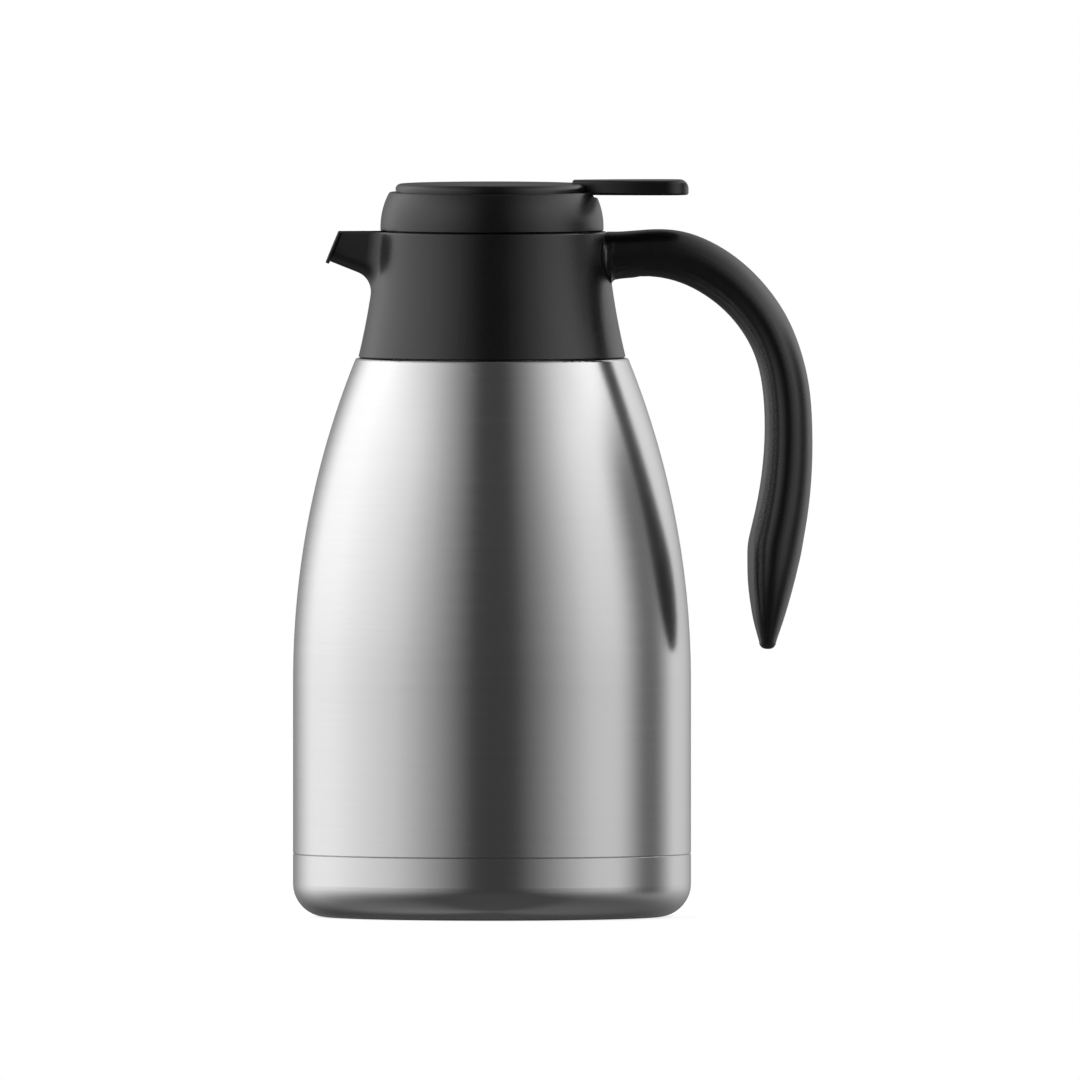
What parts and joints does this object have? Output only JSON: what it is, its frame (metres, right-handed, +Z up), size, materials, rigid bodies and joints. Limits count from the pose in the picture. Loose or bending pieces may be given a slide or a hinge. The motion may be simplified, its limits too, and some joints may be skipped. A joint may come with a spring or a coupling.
{
  "type": "thermal carafe",
  "caption": "Double-walled steel vacuum carafe with a black plastic neck, pour spout, open C handle and a screw-in lid whose thumb lever lifts a pour valve.",
  "frame": {"origin": "centre of the foot ring on the standing plane, on the body's axis", "axes": "+Z up along the body's axis, +X towards the handle, -X towards the spout"},
  "size_m": [0.1958, 0.15, 0.2777],
  "materials": {
    "shell_steel": "fine brushed",
    "flask_steel": "drawn, electropolished",
    "black_plastic": "fine moulded texture",
    "stopper_plastic": "smooth moulded",
    "silicone": "matte",
    "fastener_steel": "bright",
    "getter_metal": "sintered",
    "solder_glass": "fused"
  },
  "bodies": {
    "jug": {"outer_shell": "shell_steel", "base_cup": "shell_steel", "inner_flask": "flask_steel", "getter_disc": "getter_metal", "vacuum_seal_bead": "solder_glass", "base_cover": "black_plastic", "neck_collar": "black_plastic", "collar_gasket": "silicone", "handle": "black_plastic", "handle_screws": "fastener_steel"},
    "lid_seal": {"lid_seal": "silicone"},
    "lid": {"stopper_body": "stopper_plastic", "stopper_deck": "stopper_plastic", "lid_housing": "black_plastic", "lid_cap": "black_plastic", "lid_screws": "fastener_steel", "lever_pin": "fastener_steel", "stem_seal": "silicone", "valve_spring": "fastener_steel"},
    "lever": {"thumb_lever": "black_plastic"},
    "valve": {"valve_stem": "fastener_steel", "stem_nut": "fastener_steel", "valve_plug": "stopper_plastic", "valve_washer": "silicone"}
  },
  "joints": [
    {"name": "lid_rise", "type": "slide", "parent": "jug", "child": "lid_seal", "axis": [0, 0, 1], "range_m": [0, 0.042]},
    {"name": "lid_turn", "type": "hinge", "parent": "lid_seal", "child": "lid", "pos_m": [0, 0, 0.2586], "axis": [0, 0, 1], "range_deg": [0, 1080.05]},
    {"name": "lever_press", "type": "hinge", "parent": "lid", "child": "lever", "pos_m": [0.0335, 0, 0.2684], "axis": [0, 1, 0], "range_deg": [0, 10], "stiffness_Nm_per_rad": 0.65, "springref_deg": -11.46},
    {"name": "valve_lift", "type": "slide", "parent": "lid", "child": "valve", "axis": [0, 0, 1], "range_m": [0, 0.00585], "deforming": ["valve_spring"]}
  ],
  "couplings": [
    {"joint": "lid_turn", "follows": "lid_rise", "rad_per_m": 448.8},
    {"joint": "valve_lift", "follows": "lever_press", "m_per_rad": 0.0335}
  ]
}
